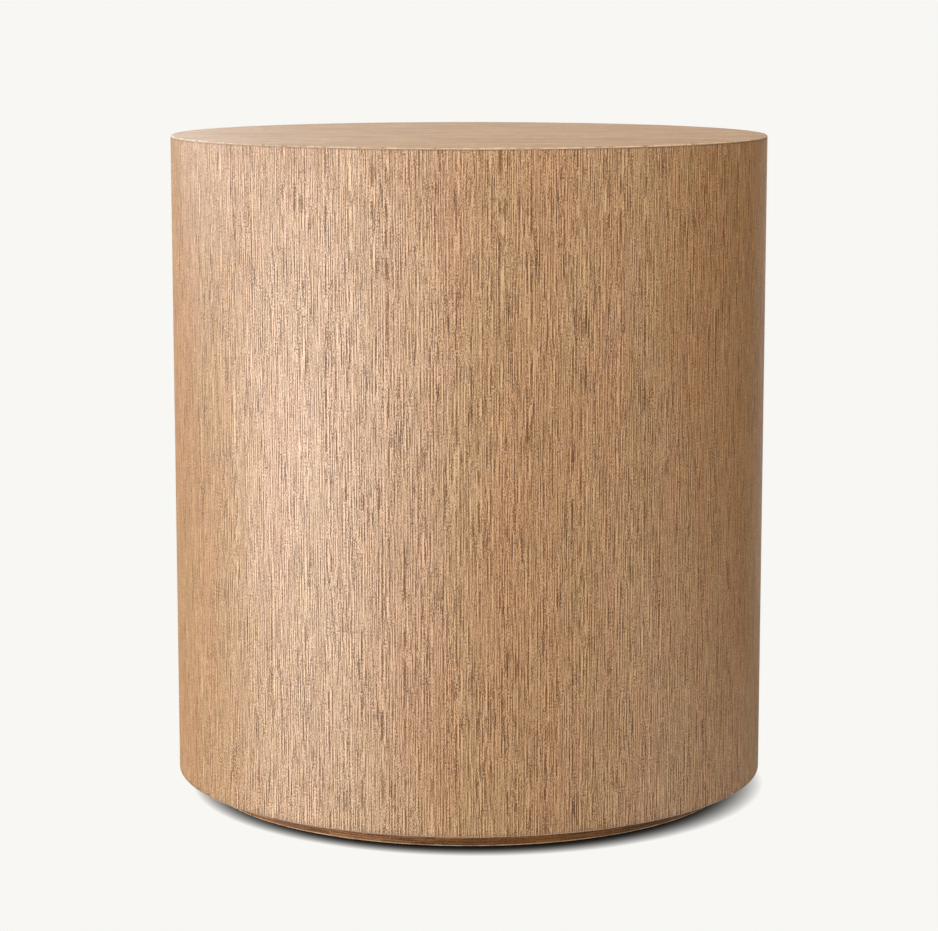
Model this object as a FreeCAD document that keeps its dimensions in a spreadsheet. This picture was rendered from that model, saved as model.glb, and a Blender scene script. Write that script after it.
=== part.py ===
import FreeCAD
import Part
import Sketcher
import os

# Drum table: a round wall of bent plywood over ring formers and studs, faced with oak veneer,
# on a recessed round base that stands on screw levellers. Millimetres, +Z up, and the origin is
# on the floor under the middle of the table.

sizes = {
    # Whole table
    "table_height": "508",
    "drum_diameter": "457.2",
    "base_recess": "22.86",
    "floor_gap": "1.3",
    # Veneer
    "veneer_thick": "1.5",
    "glue_line": "0.2",
    "side_leaves": "12",
    "top_leaves": "5",
    "top_rim_bevel": "1.0",
    "bottom_rim_round": "1.0",
    # Drum carcass
    "skin_thick": "5",
    "top_panel_thick": "18",
    "bottom_panel_thick": "15",
    "ring_thick": "18",
    "ring_width": "45",
    "stud_count": "6",
    "stud_width": "45",
    "stud_depth": "30",
    "notch_clearance": "0.2",
    # Recessed base
    "base_board_thick": "12.7",
    "band_thick": "1.5",
    "band_round": "0.8",
    # Wood screws
    "screw_diameter": "4",
    "screw_head_diameter": "8",
    "screw_tip": "4",
    "screw_clearance": "0.1",
    "stud_screw_length": "45",
    "stud_screw_inset": "21",
    "base_screw_length": "20",
    "base_screw_inset": "23",
    "base_screw_count": "8",
    # Levellers
    "leveller_count": "4",
    "leveller_inset": "52",
    "stem_diameter": "8",
    "stem_length": "30",
    "stem_chamfer": "0.8",
    "stem_hole_clearance": "0.6",
    "thread_clearance": "0.05",
    "head_overhang": "2",
    "head_height": "3",
    "key_across_flats": "5",
    "key_depth": "2",
    "key_clearance": "0.4",
    "socket_clearance": "0.1",
    "foot_diameter": "28",
    "foot_height": "7",
    "foot_sole": "2",
    "foot_round": "1.2",
    "foot_side_clearance": "2",
    "foot_top_clearance": "0.3",
    "tee_wall": "0.95",
    "tee_flange_width": "6",
    "tee_flange_thick": "1.2",
    "tee_clearance": "0.1",
}

doc = FreeCAD.newDocument("DrumTable")
sheet = doc.addObject("Spreadsheet::Sheet", "dims")
for row, (name, number) in enumerate(sizes.items(), start=1):
    sheet.set(f"A{row}", name)
    sheet.set(f"B{row}", number)
    sheet.setAlias(f"B{row}", name)
doc.recompute()

# Radii, from the outside in
drum_radius = "(dims.drum_diameter / 2)"
leaf_back_radius = f"({drum_radius} - dims.veneer_thick)"
outer_skin_radius = f"({leaf_back_radius} - dims.glue_line)"
inner_skin_radius = f"({outer_skin_radius} - dims.skin_thick)"
carcass_radius = f"({inner_skin_radius} - dims.skin_thick)"
ring_bore_radius = f"({carcass_radius} - dims.ring_width)"
base_radius = f"({drum_radius} - dims.base_recess)"
board_radius = f"({base_radius} - dims.band_thick)"
stud_screw_radius = f"({carcass_radius} - dims.stud_screw_inset)"
base_screw_radius = f"({base_radius} - dims.base_screw_inset)"
leveller_radius = f"({base_radius} - dims.leveller_inset)"

# Levels, from the floor up
board_bottom = "dims.floor_gap"
drum_bottom = f"({board_bottom} + dims.base_board_thick)"
stud_bottom = f"({drum_bottom} + dims.bottom_panel_thick)"
veneer_bottom = "(dims.table_height - dims.veneer_thick)"
stud_top = f"({veneer_bottom} - dims.top_panel_thick)"

# A rounded or bevelled edge takes at most this share of the thickness that it is cut in
ease_share = "0.8"

# Edges closer than this to a radius and a level lie there
same_place = 1e-4

parts = []


def value(expression):
    return sheet.evalExpression(expression)


def count_of(alias):
    return int(round(value(f"dims.{alias}")))


def half_step(count):
    # Half the angle between copies set evenly round the table
    return f"(180 deg / dims.{count})"


def new_body(label):
    body = doc.addObject("PartDesign::Body", label)
    body.Label = label
    parts.append(body)
    return body


def origin_feature(body, role):
    return next(feature for feature in body.Origin.OriginFeatures if feature.Role == role)


def new_sketch(body, name, role):
    sketch = body.newObject("Sketcher::SketchObject", name)
    sketch.AttachmentSupport = [(origin_feature(body, role), "")]
    sketch.MapMode = "FlatFace"
    return sketch


def add_size(sketch, kind, geometry, expression):
    # A size of one sketch element, bound to the sheet
    index = sketch.addConstraint(Sketcher.Constraint(kind, *geometry, value(expression)))
    sketch.setExpression(f"Constraints[{index}]", expression)


def polygon(body, name, role, corners):
    # A closed outline whose corners are measured from the sketch origin
    sketch = new_sketch(body, name, role)
    points = [FreeCAD.Vector(value(across), value(along), 0) for across, along in corners]
    total = len(points)
    for number in range(total):
        sketch.addGeometry(Part.LineSegment(points[number], points[(number + 1) % total]))
    for number, (across, along) in enumerate(corners):
        sketch.addConstraint(Sketcher.Constraint("Coincident", number, 2, (number + 1) % total, 1))
        add_size(sketch, "DistanceX", (-1, 1, number, 1), across)
        add_size(sketch, "DistanceY", (-1, 1, number, 1), along)
    return sketch


def rectangle(left, right, low, high):
    return [(left, low), (right, low), (right, high), (left, high)]


def add_circle(sketch, radius):
    centre = FreeCAD.Vector(0, 0, 0)
    number = sketch.addGeometry(Part.Circle(centre, FreeCAD.Vector(0, 0, 1), value(radius)))
    sketch.addConstraint(Sketcher.Constraint("Coincident", number, 3, -1, 1))
    add_size(sketch, "Radius", (number,), radius)


def pad(body, sketch, level, length):
    sketch.setExpression("AttachmentOffset.Base.z", level)
    feature = body.newObject("PartDesign::Pad", "Pad")
    feature.Profile = sketch
    feature.setExpression("Length", length)
    return feature


def disc(body, radius, level, thick, bore=None):
    sketch = new_sketch(body, "Round", "XY_Plane")
    add_circle(sketch, radius)
    if bore:
        add_circle(sketch, bore)
    return pad(body, sketch, level, thick)


def turn(body, corners, angle="360 deg", kind="PartDesign::Revolution", place=None):
    # A profile turned about the body's Z axis, or about an upright line at a radius and a bearing
    sketch = polygon(body, "Profile", "XZ_Plane", corners)
    if place:
        radius, bearing = place
        sketch.setExpression("AttachmentOffset.Base.x", f"{radius} * cos({bearing})")
        sketch.setExpression("AttachmentOffset.Base.z", f"-{radius} * sin({bearing})")
    feature = body.newObject(kind, "Turn")
    feature.Profile = sketch
    feature.ReferenceAxis = (sketch, ["V_Axis"])
    feature.setExpression("Angle", angle)
    return feature


def round_copies(body, feature, count):
    pattern = body.newObject("PartDesign::PolarPattern", "RoundCopies")
    pattern.Originals = [feature]
    pattern.Axis = (origin_feature(body, "Z_Axis"), [""])
    pattern.Angle = 360
    pattern.setExpression("Occurrences", f"dims.{count}")
    body.Tip = pattern


def volume_of(body):
    doc.recompute()
    return body.Shape.Volume


def check_cut(body, before):
    if volume_of(body) >= before:
        raise RuntimeError(f"{body.Label}: a cut removed nothing")


def drill(body, corners, place, count=None):
    # A turned hole at one place, repeated round the table when a count is given
    before = volume_of(body)
    groove = turn(body, corners, kind="PartDesign::Groove", place=place)
    if count:
        round_copies(body, groove, count)
    check_cut(body, before)


def cut_up(body, corners, level, length, count=None):
    # An outline cut upwards from a level, repeated round the table when a count is given
    before = volume_of(body)
    sketch = polygon(body, "Outline", "XY_Plane", corners)
    sketch.setExpression("AttachmentOffset.Base.z", level)
    pocket = body.newObject("PartDesign::Pocket", "Cut")
    pocket.Profile = sketch
    pocket.Reversed = True
    pocket.setExpression("Length", length)
    if count:
        round_copies(body, pocket, count)
    check_cut(body, before)


def rim_edges(feature, radius, level):
    # Names of the circular edges of one radius at one level
    doc.recompute()
    names = []
    for number, edge in enumerate(feature.Shape.Edges, start=1):
        curve = edge.Curve
        if isinstance(curve, Part.Circle):
            beside = abs(curve.Radius - value(radius))
            above = abs(curve.Center.z - value(level))
            if max(beside, above) < same_place:
                names.append(f"Edge{number}")
    return names


def within_wall(size, wall):
    return f"min(dims.{size}; {ease_share} * dims.{wall})"


def round_rim(body, feature, radius, level, size, wall):
    fillet = body.newObject("PartDesign::Fillet", "RoundRim")
    fillet.Base = (feature, rim_edges(feature, radius, level))
    fillet.setExpression("Radius", within_wall(size, wall))
    return fillet


def bevel_rim(body, feature, radius, level, size, wall):
    chamfer = body.newObject("PartDesign::Chamfer", "BevelRim")
    chamfer.Base = (feature, rim_edges(feature, radius, level))
    chamfer.setExpression("Size", within_wall(size, wall))
    return chamfer


def turn_to(body, angle):
    body.setExpression("Placement.Rotation.Angle", angle)


# Wood screws: a countersunk head, a plain shank and a pointed tip
shank_radius = "(dims.screw_diameter / 2)"
head_radius = "(dims.screw_head_diameter / 2)"
stud_place = (stud_screw_radius, "0 deg")
base_screw_place = (base_screw_radius, half_step("base_screw_count"))


def screw_outline(head_level, length, way, spare="0"):
    # Drawn from the head to the tip: way is 1 for a screw driven upwards and -1 for downwards
    shank = f"({shank_radius} + {spare})"
    head = f"({head_radius} + {spare})"
    neck = f"{head_level} + {way} * ({head_radius} - {shank_radius})"
    shoulder = f"{head_level} + {way} * (dims.{length} - dims.screw_tip)"
    tip = f"{head_level} + {way} * (dims.{length} + {spare})"
    return [("0", head_level), (head, head_level), (shank, neck), (shank, shoulder), ("0", tip)]


def screw_hole(head_level, length, way):
    return screw_outline(head_level, length, way, "dims.screw_clearance")


def screw_set(label, head_level, length, way, place, count):
    # One group of alike screws
    body = new_body(label)
    round_copies(body, turn(body, screw_outline(head_level, length, way), place=place), count)


# Side veneer: upright leaves spliced edge to edge round the drum, rounded at the lower rim
leaf_angle = "360 deg / dims.side_leaves"
leaf_section = rectangle(leaf_back_radius, drum_radius, drum_bottom, veneer_bottom)
for number in range(count_of("side_leaves")):
    side_leaf = new_body(f"side_veneer_leaf_{number + 1:02d}")
    wall = turn(side_leaf, leaf_section, angle=leaf_angle)
    round_rim(side_leaf, wall, drum_radius, drum_bottom, "bottom_rim_round", "veneer_thick")
    turn_to(side_leaf, f"({number} + 0.5) * {leaf_angle}")

# Top veneer: leaves laid side by side along X, cut round together and bevelled at the rim
top_count = count_of("top_leaves")
leaf_width = "(dims.drum_diameter / dims.top_leaves)"
for number in range(top_count):
    top_leaf = new_body(f"top_veneer_leaf_{number + 1}")
    face = disc(top_leaf, drum_radius, veneer_bottom, "dims.veneer_thick")
    bevel_rim(top_leaf, face, drum_radius, "dims.table_height", "top_rim_bevel", "veneer_thick")
    near = f"({number} * {leaf_width} - {drum_radius})"
    far = f"({near} + {leaf_width})"
    if number > 0:
        offcut = rectangle(f"-{drum_radius}", drum_radius, f"-{drum_radius}", near)
        cut_up(top_leaf, offcut, veneer_bottom, "dims.veneer_thick")
    if number < top_count - 1:
        offcut = rectangle(f"-{drum_radius}", drum_radius, far, drum_radius)
        cut_up(top_leaf, offcut, veneer_bottom, "dims.veneer_thick")

# Bent plywood wall: two layers in halves, the seams of one a quarter turn from the other's
skins = {
    "outer_skin_left": (inner_skin_radius, outer_skin_radius, "90 deg"),
    "outer_skin_right": (inner_skin_radius, outer_skin_radius, "270 deg"),
    "inner_skin_front": (carcass_radius, inner_skin_radius, "180 deg"),
    "inner_skin_back": (carcass_radius, inner_skin_radius, "0 deg"),
}
for label, (inner, outer, bearing) in skins.items():
    skin = new_body(label)
    turn(skin, rectangle(inner, outer, drum_bottom, stud_top), angle="180 deg")
    turn_to(skin, bearing)

# Top panel, screwed down into the studs
top_panel = new_body("top_panel")
disc(top_panel, outer_skin_radius, stud_top, "dims.top_panel_thick")
top_hole = screw_hole(veneer_bottom, "stud_screw_length", -1)
drill(top_panel, top_hole, stud_place, "stud_count")

# Ring formers, notched round the studs
rings = {
    "bottom_ring": stud_bottom,
    "middle_ring": f"(({stud_bottom} + {stud_top} - dims.ring_thick) / 2)",
    "top_ring": f"({stud_top} - dims.ring_thick)",
}
notch_half = "(dims.stud_width / 2 + dims.notch_clearance)"
notch_floor = f"({carcass_radius} - dims.stud_depth - dims.notch_clearance)"
notch = rectangle(notch_floor, drum_radius, f"-{notch_half}", notch_half)
for label, level in rings.items():
    ring = new_body(label)
    disc(ring, carcass_radius, level, "dims.ring_thick", bore=ring_bore_radius)
    cut_up(ring, notch, level, "dims.ring_thick", "stud_count")

# Studs: upright posts whose outer face follows the wall, drilled at both ends
stud_half = "(dims.stud_width / 2)"
stud_back = f"({carcass_radius} - dims.stud_depth)"


def stud_outline(body):
    sketch = new_sketch(body, "Post", "XY_Plane")
    radius = value(carcass_radius)
    half = value(stud_half)
    reach = (radius**2 - half**2) ** 0.5
    left_front = FreeCAD.Vector(reach, half, 0)
    left_back = FreeCAD.Vector(value(stud_back), half, 0)
    right_back = FreeCAD.Vector(value(stud_back), -half, 0)
    right_front = FreeCAD.Vector(reach, -half, 0)
    sketch.addGeometry(Part.LineSegment(left_front, left_back))
    sketch.addGeometry(Part.LineSegment(left_back, right_back))
    sketch.addGeometry(Part.LineSegment(right_back, right_front))
    sketch.addGeometry(Part.Arc(right_front, FreeCAD.Vector(radius, 0, 0), left_front))
    for side in range(4):
        sketch.addConstraint(Sketcher.Constraint("Coincident", side, 2, (side + 1) % 4, 1))
    sketch.addConstraint(Sketcher.Constraint("Coincident", 3, 3, -1, 1))
    sketch.addConstraint(Sketcher.Constraint("Horizontal", 0))
    sketch.addConstraint(Sketcher.Constraint("Vertical", 1))
    sketch.addConstraint(Sketcher.Constraint("Horizontal", 2))
    add_size(sketch, "DistanceX", (-1, 1, 1, 1), stud_back)
    add_size(sketch, "DistanceY", (-1, 1, 1, 1), stud_half)
    add_size(sketch, "DistanceY", (1, 2, -1, 1), stud_half)
    add_size(sketch, "Radius", (3,), carcass_radius)
    return sketch


bottom_hole = screw_hole(drum_bottom, "stud_screw_length", 1)
for number in range(count_of("stud_count")):
    stud = new_body(f"stud_{number + 1}")
    pad(stud, stud_outline(stud), stud_bottom, f"{stud_top} - {stud_bottom}")
    drill(stud, top_hole, stud_place)
    drill(stud, bottom_hole, stud_place)
    turn_to(stud, f"{number} * 360 deg / dims.stud_count")

# Levellers: radii and levels shared by the tee nut, the stem, the foot and the holes for them
stem_radius = "(dims.stem_diameter / 2)"
neck_radius = f"({stem_radius} + dims.socket_clearance)"
knob_radius = f"({stem_radius} + dims.head_overhang)"
socket_radius = f"({knob_radius} + dims.socket_clearance)"
foot_radius = "(dims.foot_diameter / 2)"
tee_bore_radius = f"({stem_radius} + dims.thread_clearance)"
barrel_radius = f"({tee_bore_radius} + dims.tee_wall)"
flange_radius = f"({barrel_radius} + dims.tee_flange_width)"
key_corner = "(dims.key_across_flats / sqrt(3))"
key_flat = "(dims.key_across_flats / 2)"
key_hole_radius = f"({key_corner} + dims.key_clearance)"
knob_bottom = "(dims.foot_sole + dims.socket_clearance)"
knob_top = f"({knob_bottom} + dims.head_height)"
socket_top = f"({knob_top} + dims.socket_clearance)"
stem_top = f"({knob_top} + dims.stem_length)"
foot_recess_top = "(dims.foot_height + dims.foot_top_clearance)"
flange_bottom = f"({drum_bottom} - dims.tee_flange_thick)"
leveller_place = (leveller_radius, half_step("leveller_count"))

# Bottom panel: closes the drum, with a way through for each leveller stem
bottom_panel = new_body("bottom_panel")
disc(bottom_panel, carcass_radius, drum_bottom, "dims.bottom_panel_thick")
base_hole = screw_hole(board_bottom, "base_screw_length", 1)
stem_hole = rectangle("0", f"{stem_radius} + dims.stem_hole_clearance", drum_bottom, stud_bottom)
drill(bottom_panel, bottom_hole, stud_place, "stud_count")
drill(bottom_panel, base_hole, base_screw_place, "base_screw_count")
drill(bottom_panel, stem_hole, leveller_place, "leveller_count")

# Recessed base: a board with a stepped hole for each leveller, and a dark band round its edge
foot_hole = f"({foot_radius} + dims.foot_side_clearance)"
barrel_hole = f"({barrel_radius} + dims.tee_clearance)"
flange_hole = f"({flange_radius} + dims.tee_clearance)"
stepped_hole = [
    ("0", board_bottom),
    (foot_hole, board_bottom),
    (foot_hole, foot_recess_top),
    (barrel_hole, foot_recess_top),
    (barrel_hole, flange_bottom),
    (flange_hole, flange_bottom),
    (flange_hole, drum_bottom),
    ("0", drum_bottom),
]
base_board = new_body("base_board")
disc(base_board, board_radius, board_bottom, "dims.base_board_thick")
drill(base_board, base_hole, base_screw_place, "base_screw_count")
drill(base_board, stepped_hole, leveller_place, "leveller_count")

base_band = new_body("base_edge_band")
band = turn(base_band, rectangle(board_radius, base_radius, board_bottom, drum_bottom))
round_rim(base_band, band, base_radius, board_bottom, "band_round", "band_thick")

screw_set("top_panel_screws", veneer_bottom, "stud_screw_length", -1, stud_place, "stud_count")
screw_set("bottom_panel_screws", drum_bottom, "stud_screw_length", 1, stud_place, "stud_count")
screw_set("base_screws", board_bottom, "base_screw_length", 1, base_screw_place, "base_screw_count")

# Tee nuts, let into the top of the base board
tee_outline = [
    (tee_bore_radius, foot_recess_top),
    (barrel_radius, foot_recess_top),
    (barrel_radius, flange_bottom),
    (flange_radius, flange_bottom),
    (flange_radius, drum_bottom),
    (tee_bore_radius, drum_bottom),
]
tee_nuts = new_body("tee_nuts")
round_copies(tee_nuts, turn(tee_nuts, tee_outline, place=leveller_place), "leveller_count")

# Leveller stems, with a hexagon socket under the head, and the feet that turn on their heads
stem_outline = [
    ("0", knob_bottom),
    (knob_radius, knob_bottom),
    (knob_radius, knob_top),
    (stem_radius, knob_top),
    (stem_radius, f"{stem_top} - dims.stem_chamfer"),
    (f"{stem_radius} - dims.stem_chamfer", stem_top),
    ("0", stem_top),
]
key_outline = [
    (key_corner, "0"),
    (f"{key_corner} / 2", key_flat),
    (f"-{key_corner} / 2", key_flat),
    (f"-{key_corner}", "0"),
    (f"-{key_corner} / 2", f"-{key_flat}"),
    (f"{key_corner} / 2", f"-{key_flat}"),
]
foot_outline = [
    (key_hole_radius, "0"),
    (foot_radius, "0"),
    (foot_radius, "dims.foot_height"),
    (neck_radius, "dims.foot_height"),
    (neck_radius, socket_top),
    (socket_radius, socket_top),
    (socket_radius, "dims.foot_sole"),
    (key_hole_radius, "dims.foot_sole"),
]
for number in range(count_of("leveller_count")):
    stem = new_body(f"leveller_stem_{number + 1}")
    turn(stem, stem_outline)
    cut_up(stem, key_outline, knob_bottom, "dims.key_depth")
    foot = new_body(f"leveller_foot_{number + 1}")
    blank = turn(foot, foot_outline)
    tread = round_rim(foot, blank, foot_radius, "0", "foot_round", "foot_sole")
    round_rim(foot, tread, foot_radius, "dims.foot_height", "foot_round", "foot_sole")
    bearing = f"({number} + 0.5) * 360 deg / dims.leveller_count"
    for body in (stem, foot):
        body.setExpression("Placement.Base.x", f"{leveller_radius} * cos({bearing})")
        body.setExpression("Placement.Base.y", f"{leveller_radius} * sin({bearing})")

doc.recompute()
for item in doc.Objects:
    if "Invalid" in item.State or "Error" in item.State:
        raise RuntimeError(f"{item.Label} is {item.State}")
for body in parts:
    if body.Shape.isNull() or not body.Shape.isValid():
        raise RuntimeError(f"{body.Label} has no valid shape")

os.makedirs("parts", exist_ok=True)
for body in parts:
    body.Shape.exportStep(f"parts/{body.Label}.step")
    print(f"{body.Label}: {len(body.Shape.Solids)} solid(s), {body.Shape.Volume:.0f} mm3")
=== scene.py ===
import math

import bmesh
import bpy
from mathutils import Matrix, Vector


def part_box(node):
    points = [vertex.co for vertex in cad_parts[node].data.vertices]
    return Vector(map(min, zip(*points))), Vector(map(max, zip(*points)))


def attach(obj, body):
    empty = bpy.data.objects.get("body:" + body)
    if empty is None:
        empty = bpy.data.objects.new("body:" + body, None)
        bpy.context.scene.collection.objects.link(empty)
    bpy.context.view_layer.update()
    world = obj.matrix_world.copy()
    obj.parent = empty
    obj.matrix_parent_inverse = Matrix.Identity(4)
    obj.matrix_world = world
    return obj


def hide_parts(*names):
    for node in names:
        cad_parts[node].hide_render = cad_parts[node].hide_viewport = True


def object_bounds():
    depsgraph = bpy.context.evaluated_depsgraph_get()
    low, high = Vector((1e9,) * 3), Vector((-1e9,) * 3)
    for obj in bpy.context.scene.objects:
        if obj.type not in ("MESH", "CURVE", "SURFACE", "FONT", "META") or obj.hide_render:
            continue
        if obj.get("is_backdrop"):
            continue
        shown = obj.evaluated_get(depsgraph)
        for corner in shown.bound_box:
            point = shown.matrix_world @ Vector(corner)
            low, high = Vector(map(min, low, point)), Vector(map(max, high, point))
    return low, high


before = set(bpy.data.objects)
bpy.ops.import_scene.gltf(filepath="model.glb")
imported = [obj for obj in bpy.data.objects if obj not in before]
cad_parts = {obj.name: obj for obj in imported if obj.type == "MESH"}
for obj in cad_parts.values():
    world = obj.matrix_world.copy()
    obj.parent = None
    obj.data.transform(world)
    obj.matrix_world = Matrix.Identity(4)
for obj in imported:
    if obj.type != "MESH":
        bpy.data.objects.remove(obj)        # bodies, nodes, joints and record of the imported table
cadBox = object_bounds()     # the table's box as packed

scene = bpy.context.scene
fullTurn = 2 * math.pi


# Small helpers for meshes

def nodesNamed(start):
    return sorted(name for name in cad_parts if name.startswith(start))


def pointsOf(node):
    return [vertex.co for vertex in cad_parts[node].data.vertices]


def reachOf(point, centre):
    # level distance of a point from an upright line
    return math.hypot(point.x - centre[0], point.y - centre[1])


def ringOf(node, centre=(0.0, 0.0)):
    # inner and outer radius about an upright line, then lowest and highest level
    points = pointsOf(node)
    radii = [reachOf(point, centre) for point in points]
    levels = [point.z for point in points]
    return min(radii), max(radii), min(levels), max(levels)


def centreOf(node):
    low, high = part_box(node)
    middle = (low + high) / 2
    return middle.x, middle.y


def ringPoints(radius, level, steps, centre=(0.0, 0.0)):
    turns = [fullTurn * step / steps for step in range(steps)]
    x, y = centre
    return [(x + radius * math.cos(t), y + radius * math.sin(t), level) for t in turns]


def quarterRound(radius, level, ease, steps, way):
    # outer corner eased by a quarter circle: way 1 runs up from a lower rim, -1 up to an upper rim
    points = []
    for step in range(steps + 1):
        turn = math.pi / 2 * step / steps
        out, up = ease * math.sin(turn), ease * math.cos(turn)
        if way > 0:
            points.append((radius - ease + out, level + ease - up))
        else:
            points.append((radius - ease + up, level - ease + out))
    return points


def skinRows(bm, rows, wrap=True, loop=False, caps=True):
    # quads between rows of points: wrap closes each row, loop joins the last row to the first
    grid = [[bm.verts.new(point) for point in row] for row in rows]
    columns = len(grid[0])
    bands = []
    for index in range(len(grid) if loop else len(grid) - 1):
        lower, upper = grid[index], grid[(index + 1) % len(grid)]
        band = []
        for column in range(columns if wrap else columns - 1):
            beside = (column + 1) % columns
            quad = (lower[column], lower[beside], upper[beside], upper[column])
            band.append(bm.faces.new(quad))
        bands.append(band)
    if caps and not loop:
        bm.faces.new(list(reversed(grid[0])))
        bm.faces.new(grid[-1])
    return grid, bands


def writeMap(bm, name, placeOf):
    layer = bm.loops.layers.uv.new(name)
    for face in bm.faces:
        for corner in face.loops:
            corner[layer].uv = placeOf(face, corner.vert.co)


def newObject(bm, name, material):
    mesh = bpy.data.meshes.new(name)
    bm.to_mesh(mesh)
    bm.free()
    mesh.materials.append(material)
    item = bpy.data.objects.new(name, mesh)
    scene.collection.objects.link(item)
    return item


def makePiece(bm, name, body, node, material, sharpDegrees=32):
    bmesh.ops.recalc_face_normals(bm, faces=bm.faces[:])
    piece = newObject(bm, name, material)
    piece.data.shade_smooth()
    piece.data.set_sharp_from_angle(angle=math.radians(sharpDegrees))
    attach(piece, body)
    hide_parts(node)


# Small helpers for node trees

def addNode(tree, kind, inputs=None, **settings):
    node = tree.nodes.new("ShaderNode" + kind)
    node.location = (180 * (len(tree.nodes) % 12), -240 * (len(tree.nodes) // 12))
    for name, value in settings.items():
        setattr(node, name, value)
    for name, value in (inputs or {}).items():
        if isinstance(value, bpy.types.NodeSocket):
            tree.links.new(value, node.inputs[name])
        else:
            node.inputs[name].default_value = value
    return node


def calc(tree, operation, first, second=0.0, clamp=False):
    node = addNode(tree, "Math", {0: first, 1: second}, operation=operation, use_clamp=clamp)
    return node.outputs[0]


def spread(tree, value, low, high, newLow=0.0, newHigh=1.0):
    ends = {"Value": value, "From Min": low, "From Max": high, "To Min": newLow, "To Max": newHigh}
    return addNode(tree, "MapRange", ends, interpolation_type="SMOOTHSTEP").outputs["Result"]


def swing(tree, value, share):
    # a value that lies about one half, moved to lie about nought and scaled
    return calc(tree, "MULTIPLY", calc(tree, "SUBTRACT", value, 0.5), share)


def radiusAt(tree, x, y):
    squares = calc(tree, "ADD", calc(tree, "POWER", x, 2.0), calc(tree, "POWER", y, 2.0))
    return calc(tree, "SQRT", squares)


def mixColour(tree, share, first, second, blend="MIX"):
    # sockets 0, 6 and 7 are the share and the two colours
    node = addNode(tree, "Mix", {0: share, 6: first, 7: second}, data_type="RGBA", blend_type=blend)
    return node.outputs[2]


def splitAxes(tree, vector):
    return addNode(tree, "SeparateXYZ", {0: vector}).outputs


def objectPoint(tree):
    return addNode(tree, "TexCoord").outputs["Object"]


def stretchedNoise(tree, across, along, width, length, detail):
    # noise whose blots are width wide across the grain and length long with it, in metres
    stretched = addNode(tree, "CombineXYZ", {
        "X": calc(tree, "DIVIDE", across, width), "Y": calc(tree, "DIVIDE", along, length)})
    noise = addNode(tree, "TexNoise", {
        "Vector": stretched.outputs[0], "Scale": 1.0, "Detail": detail, "Roughness": 0.5},
        noise_dimensions="2D")
    return noise.outputs["Fac"]


stripsApart = 900.0     # moves each strip to a stretch of noise of its own


def fibreStrips(tree, across, along, width, length, seed):
    # strips of one width side by side, each with its own run of light and dark along the grain
    count = calc(tree, "FLOOR", calc(tree, "ADD", calc(tree, "DIVIDE", across, width), seed))
    own = addNode(tree, "TexWhiteNoise", {"W": count}, noise_dimensions="1D").outputs["Value"]
    start = calc(tree, "MULTIPLY", own, stripsApart)
    run = calc(tree, "ADD", calc(tree, "DIVIDE", along, length), start)
    noise = addNode(tree, "TexNoise", {"W": run, "Scale": 1.0, "Detail": 0.0}, noise_dimensions="1D")
    return noise.outputs["Fac"]


def colour(red, green, blue):
    # a colour as a picture program shows it, turned into the light values that shaders use
    parts = [value / 255 for value in (red, green, blue)]
    light = [p / 12.92 if p <= 0.04045 else ((p + 0.055) / 1.055) ** 2.4 for p in parts]
    return (*light, 1.0)


def startGroup(name, inputs, outputs):
    group = bpy.data.node_groups.new(name, "ShaderNodeTree")
    for title, kind, value in inputs:
        socket = group.interface.new_socket(title, in_out="INPUT", socket_type="NodeSocket" + kind)
        if value is not None:
            socket.default_value = value
    for title, kind in outputs:
        group.interface.new_socket(title, in_out="OUTPUT", socket_type="NodeSocket" + kind)
    given = group.nodes.new("NodeGroupInput").outputs
    result = group.nodes.new("NodeGroupOutput").inputs
    return group, given, result


def useGroup(tree, group, inputs):
    return addNode(tree, "Group", inputs, node_tree=group).outputs


def startMaterial(name, **constants):
    material = bpy.data.materials.new(name)
    material.use_nodes = True
    tree = material.node_tree
    shader = tree.nodes["Principled BSDF"]
    for title, value in constants.items():
        shader.inputs[title.replace("_", " ")].default_value = value
    return material, tree, shader


def bumpInto(tree, shader, height, strength, distance):
    bump = addNode(tree, "Bump", {"Height": height, "Strength": strength, "Distance": distance})
    tree.links.new(bump.outputs["Normal"], shader.inputs["Normal"])


# Shared effects

grainForm = {
    "drift": {"width": 0.05, "length": 0.4, "sway": 0.0016},         # all lines lean together
    "patch": {"low": 0.32, "high": 0.68, "calm": 0.58, "bold": 1.04},
    "wander": {"width": 0.007, "length": 0.6, "angle": 16.0},        # uneven ridge spacing
    "dash": {"low": 0.3, "high": 0.7, "faint": -0.15, "full": 0.72, "seed": 0.3},
    "strips": [     # fibres, in shares of the ridge spacing and length
        {"width": 0.25, "length": 5.0, "share": 0.75, "seed": 0.1},
        {"width": 0.23, "length": 2.0, "share": 0.55, "seed": 0.4},
        {"width": 0.21, "length": 0.7, "share": 0.50, "seed": 0.7},
        {"width": 0.20, "length": 0.25, "share": 0.70, "seed": 0.2},
    ],
    "grit": {"width": 0.0006, "length": 0.0014, "share": 1.4},
    "pore": {"low": 0.72, "high": 0.80, "depth": 0.5, "seed": 0.9},
}


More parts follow.
